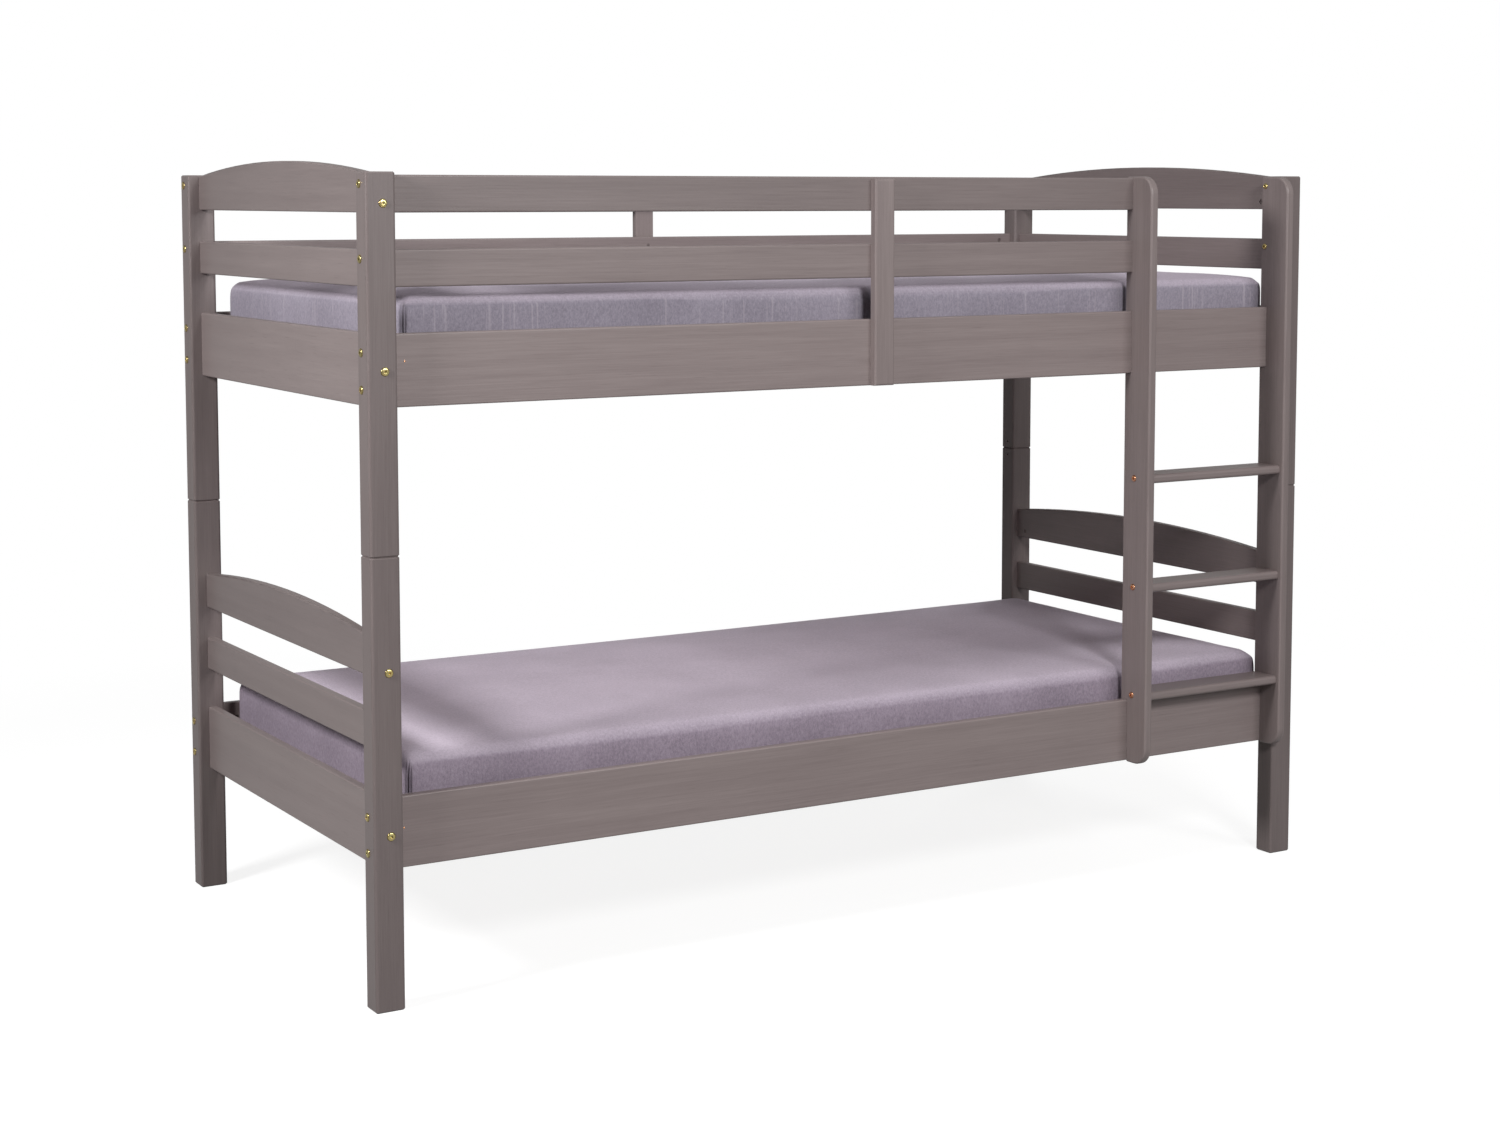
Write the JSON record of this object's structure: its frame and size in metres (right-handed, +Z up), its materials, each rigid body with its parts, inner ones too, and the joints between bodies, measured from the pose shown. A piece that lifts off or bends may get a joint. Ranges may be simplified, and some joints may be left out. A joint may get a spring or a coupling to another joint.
{
  "type": "bunk bed",
  "caption": "Painted wooden bunk bed: stacked bed frames with arched ends, guard rails, a bolted ladder, slatted decks and mattresses.",
  "frame": {"origin": "on the floor, below the middle of the whole bed's box, ladder included", "axes": "+X along the bed towards the ladder end, +Y from the ladder side to the wall side, +Z up"},
  "size_m": [2.094, 1.016, 1.4629],
  "materials": {
    "painted_wood": "satin",
    "bare_pine": "matte",
    "yellow_zinc": "satin",
    "copper_finish": "satin",
    "plain_steel": "satin",
    "sheet_fabric": "matte"
  },
  "bodies": {
    "lower_bed": {"lower_back_left_post": "painted_wood", "lower_back_right_post": "painted_wood", "lower_back_side_rail": "painted_wood", "lower_back_slat_cleat": "bare_pine", "lower_barrel_nuts": "plain_steel", "lower_deck_screws": "plain_steel", "lower_dowels": "bare_pine", "lower_end_rail_bolts": "yellow_zinc", "lower_front_left_post": "painted_wood", "lower_front_right_post": "painted_wood", "lower_front_side_rail": "painted_wood", "lower_front_slat_cleat": "bare_pine", "lower_left_arched_rail": "painted_wood", "lower_left_end_rail": "painted_wood", "lower_left_middle_rail": "painted_wood", "lower_right_arched_rail": "painted_wood", "lower_right_end_rail": "painted_wood", "lower_right_middle_rail": "painted_wood", "lower_side_rail_bolts": "yellow_zinc", "lower_slats": "bare_pine", "post_joint_pins": "plain_steel"},
    "upper_bunk": {"back_guard_lower_rail": "painted_wood", "back_guard_top_rail": "painted_wood", "back_guard_upright": "painted_wood", "front_guard_lower_rail": "painted_wood", "front_guard_top_rail": "painted_wood", "front_guard_upright": "painted_wood", "guard_ladder_screws": "plain_steel", "ladder_bottom_rung": "painted_wood", "ladder_guard_bolts": "yellow_zinc", "ladder_left_stile": "painted_wood", "ladder_middle_rung": "painted_wood", "ladder_post_bolts": "yellow_zinc", "ladder_right_stile": "painted_wood", "ladder_rung_bolts": "copper_finish", "ladder_sleeve_nuts": "yellow_zinc", "ladder_top_rung": "painted_wood", "upper_back_left_post": "painted_wood", "upper_back_right_post": "painted_wood", "upper_back_side_rail": "painted_wood", "upper_back_slat_cleat": "bare_pine", "upper_barrel_nuts": "plain_steel", "upper_deck_screws": "plain_steel", "upper_dowels": "bare_pine", "upper_end_rail_bolts": "yellow_zinc", "upper_front_left_post": "painted_wood", "upper_front_right_post": "painted_wood", "upper_front_side_rail": "painted_wood", "upper_front_slat_cleat": "bare_pine", "upper_left_arched_rail": "painted_wood", "upper_left_end_rail": "painted_wood", "upper_left_middle_rail": "painted_wood", "upper_right_arched_rail": "painted_wood", "upper_right_end_rail": "painted_wood", "upper_right_middle_rail": "painted_wood", "upper_side_rail_bolts": "yellow_zinc", "upper_slats": "bare_pine"},
    "lower_mattress": {"lower_mattress": "sheet_fabric"},
    "upper_mattress": {"upper_mattress": "sheet_fabric"}
  },
  "joints": [
    {"name": "upper_bunk_lift", "type": "slide", "parent": "lower_bed", "child": "upper_bunk", "axis": [0, 0, 1], "range_m": [0, 0.08]},
    {"name": "lower_mattress_lift", "type": "slide", "parent": "lower_bed", "child": "lower_mattress", "axis": [0, 0, 1], "range_m": [0, 0.15]},
    {"name": "upper_mattress_lift", "type": "slide", "parent": "upper_bunk", "child": "upper_mattress", "axis": [0, 0, 1], "range_m": [0, 0.4]}
  ]
}
